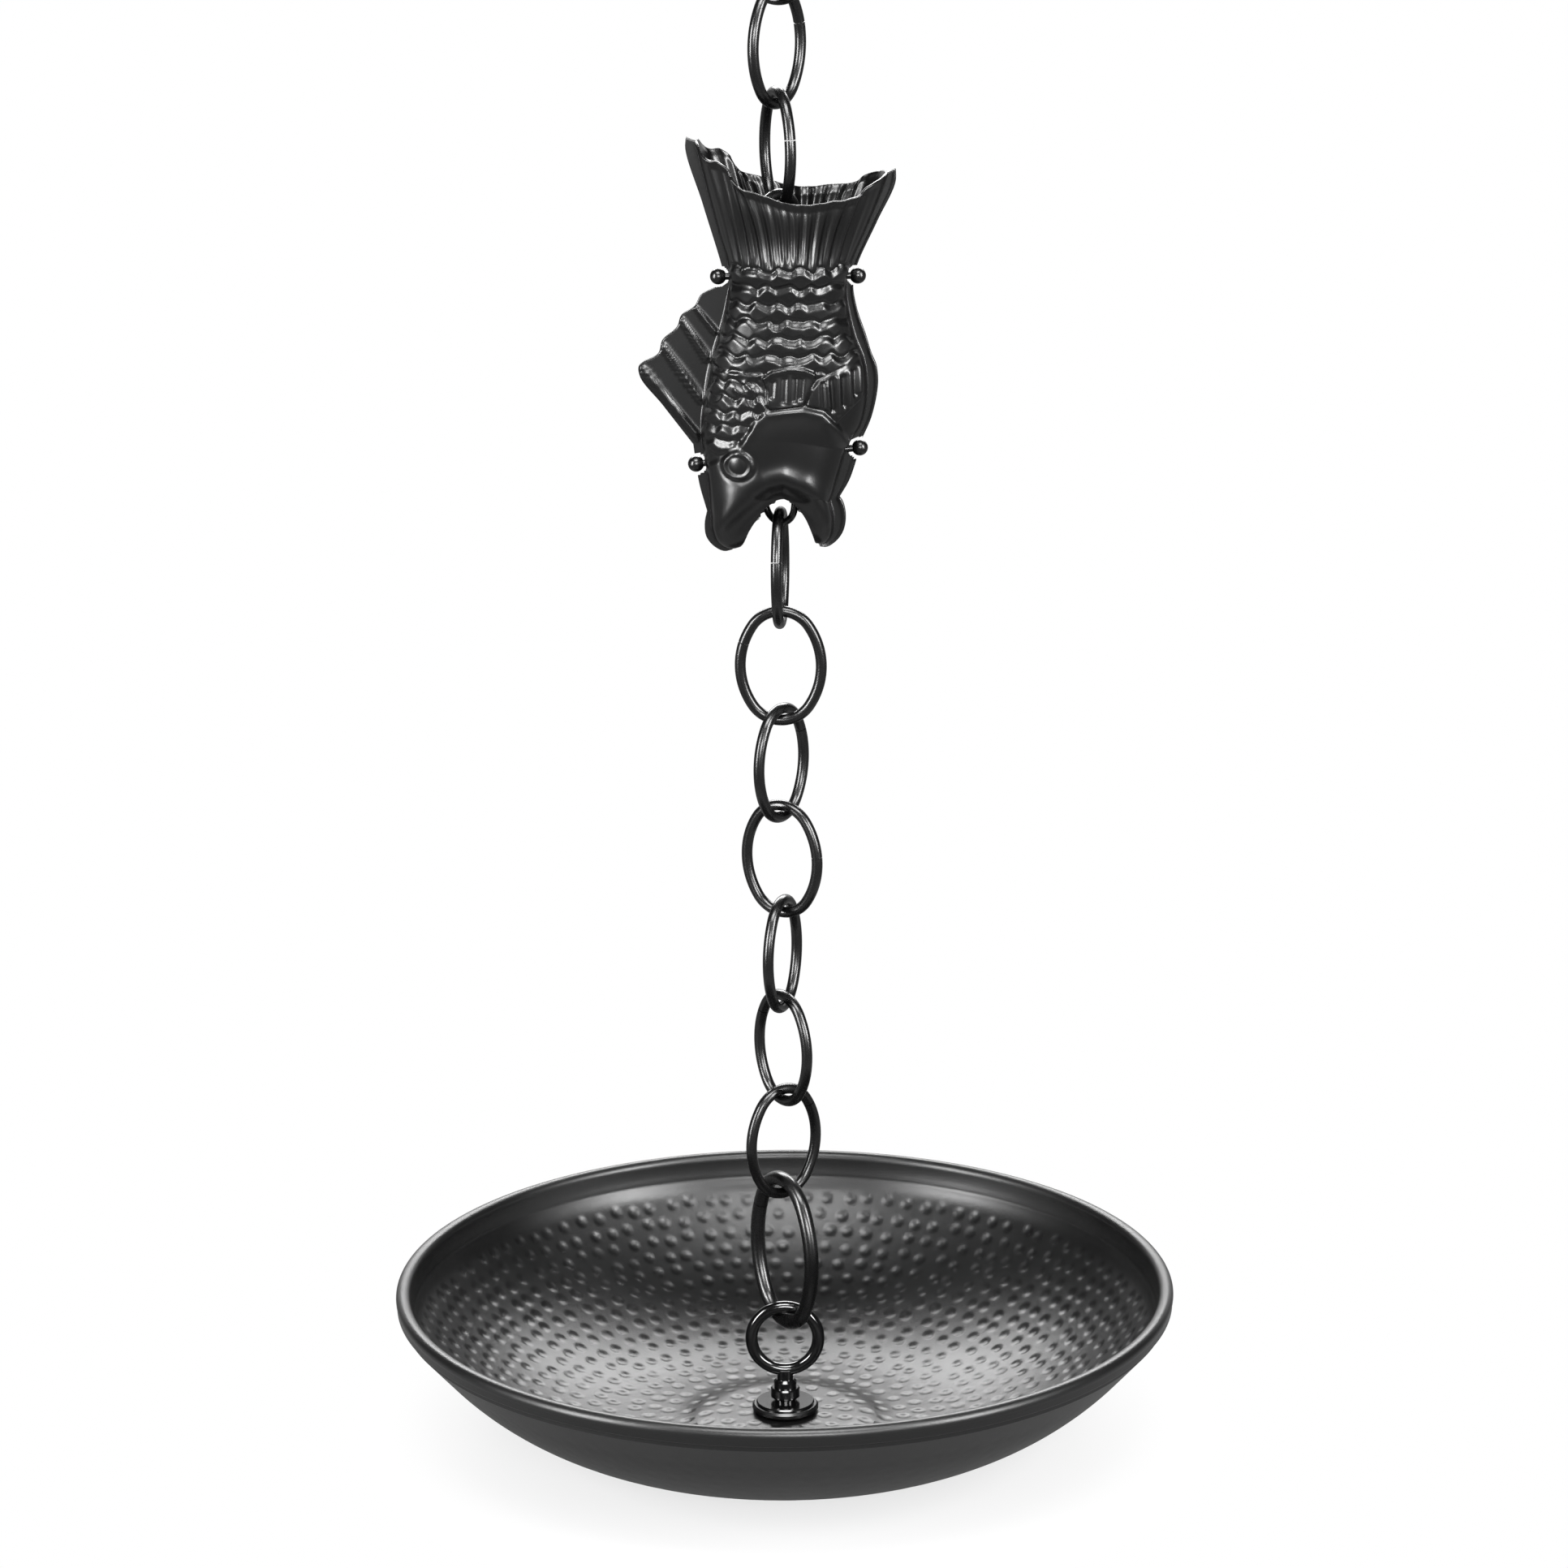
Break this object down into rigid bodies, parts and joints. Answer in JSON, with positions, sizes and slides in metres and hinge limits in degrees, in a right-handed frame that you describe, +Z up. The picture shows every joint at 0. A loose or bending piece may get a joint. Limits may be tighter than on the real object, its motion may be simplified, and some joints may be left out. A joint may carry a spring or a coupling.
{
  "type": "rain chain",
  "caption": "Hanging rain chain of oval wire links with a fish shaped cup and a round hammered basin on an eye bolt.",
  "frame": {"origin": "hanging seat: the inside top of the top link, where the gutter's hook or loop carries it", "axes": "+Z up, chain hangs along -Z, the fish's front half shell faces -Y"},
  "size_m": [0.344, 0.344, 0.6845],
  "materials": {
    "satin_black": "satin black powder coat",
    "gloss_black": "glossy black coat",
    "seal_rubber": "black rubber"
  },
  "bodies": {
    "top_link": {"top_link": "satin_black"},
    "link_01": {"link_01": "satin_black"},
    "link_02": {"link_02": "satin_black"},
    "inner_link": {"inner_link": "satin_black"},
    "mouth_ring": {"mouth_ring": "satin_black"},
    "link_03": {"link_03": "satin_black"},
    "link_04": {"link_04": "satin_black"},
    "link_05": {"link_05": "satin_black"},
    "link_06": {"link_06": "satin_black"},
    "link_07": {"link_07": "satin_black"},
    "link_08": {"link_08": "satin_black"},
    "link_09": {"link_09": "satin_black"},
    "connector_link": {"connector_link": "satin_black"},
    "fish": {"fish_front_shell": "satin_black", "fish_back_shell": "satin_black", "upper_cross_rod": "satin_black", "upper_left_ball_nut": "satin_black", "upper_right_ball_nut": "satin_black", "lower_cross_rod": "satin_black", "lower_left_ball_nut": "satin_black", "lower_right_ball_nut": "satin_black"},
    "basin": {"eye_bolt": "gloss_black", "eye_nut": "gloss_black", "washer": "gloss_black", "seal_washer": "seal_rubber", "basin": "satin_black", "lower_washer": "gloss_black", "lower_nut": "gloss_black"}
  },
  "joints": [
    {"name": "link_01_swing", "type": "hinge", "parent": "top_link", "child": "link_01", "pos_m": [0, 0, -0.04587], "axis": [0.866, -0.5, 0], "range_deg": [-30, 30]},
    {"name": "link_02_swing", "type": "hinge", "parent": "link_01", "child": "link_02", "pos_m": [0, 0, -0.08908], "axis": [0.5664, 0.8241, 0], "range_deg": [-30, 30]},
    {"name": "inner_link_swing", "type": "hinge", "parent": "link_02", "child": "inner_link", "pos_m": [0, 0, -0.13228], "axis": [0.309, -0.9511, 0], "range_deg": [-20, 20]},
    {"name": "fish_swing", "type": "hinge", "parent": "inner_link", "child": "fish", "pos_m": [0, 0, -0.16175], "axis": [1, 0, 0], "range_deg": [-7, 7]},
    {"name": "mouth_ring_swing", "type": "hinge", "parent": "fish", "child": "mouth_ring", "pos_m": [0, 0, -0.23879], "axis": [0.9955, 0, 0.0945], "range_deg": [-15, 15]},
    {"name": "link_03_swing", "type": "hinge", "parent": "mouth_ring", "child": "link_03", "pos_m": [0, 0, -0.26779], "axis": [0.7431, -0.6691, 0], "range_deg": [-30, 30]},
    {"name": "link_04_swing", "type": "hinge", "parent": "link_03", "child": "link_04", "pos_m": [0, 0, -0.31186], "axis": [0.0958, 0.9954, 0], "range_deg": [-30, 30]},
    {"name": "link_05_swing", "type": "hinge", "parent": "link_04", "child": "link_05", "pos_m": [0, 0, -0.35506], "axis": [0.9976, -0.0698, 0], "range_deg": [-30, 30]},
    {"name": "link_06_swing", "type": "hinge", "parent": "link_05", "child": "link_06", "pos_m": [0, 0, -0.39826], "axis": [0.5519, 0.8339, 0], "range_deg": [-30, 30]},
    {"name": "link_07_swing", "type": "hinge", "parent": "link_06", "child": "link_07", "pos_m": [0, 0, -0.44146], "axis": [0.8704, -0.4924, 0], "range_deg": [-30, 30]},
    {"name": "link_08_swing", "type": "hinge", "parent": "link_07", "child": "link_08", "pos_m": [0, 0, -0.48466], "axis": [0.3584, 0.9336, 0], "range_deg": [-30, 30]},
    {"name": "link_09_swing", "type": "hinge", "parent": "link_08", "child": "link_09", "pos_m": [0, 0, -0.52786], "axis": [0.5948, -0.8039, 0], "range_deg": [-30, 30]},
    {"name": "connector_swing", "type": "hinge", "parent": "link_09", "child": "connector_link", "pos_m": [0, 0, -0.57106], "axis": [0.809, 0.5878, 0], "range_deg": [-30, 30]},
    {"name": "basin_swing", "type": "hinge", "parent": "connector_link", "child": "basin", "pos_m": [0, 0, -0.63134], "axis": [0.4955, -0.8686, 0], "range_deg": [-30, 30]}
  ]
}
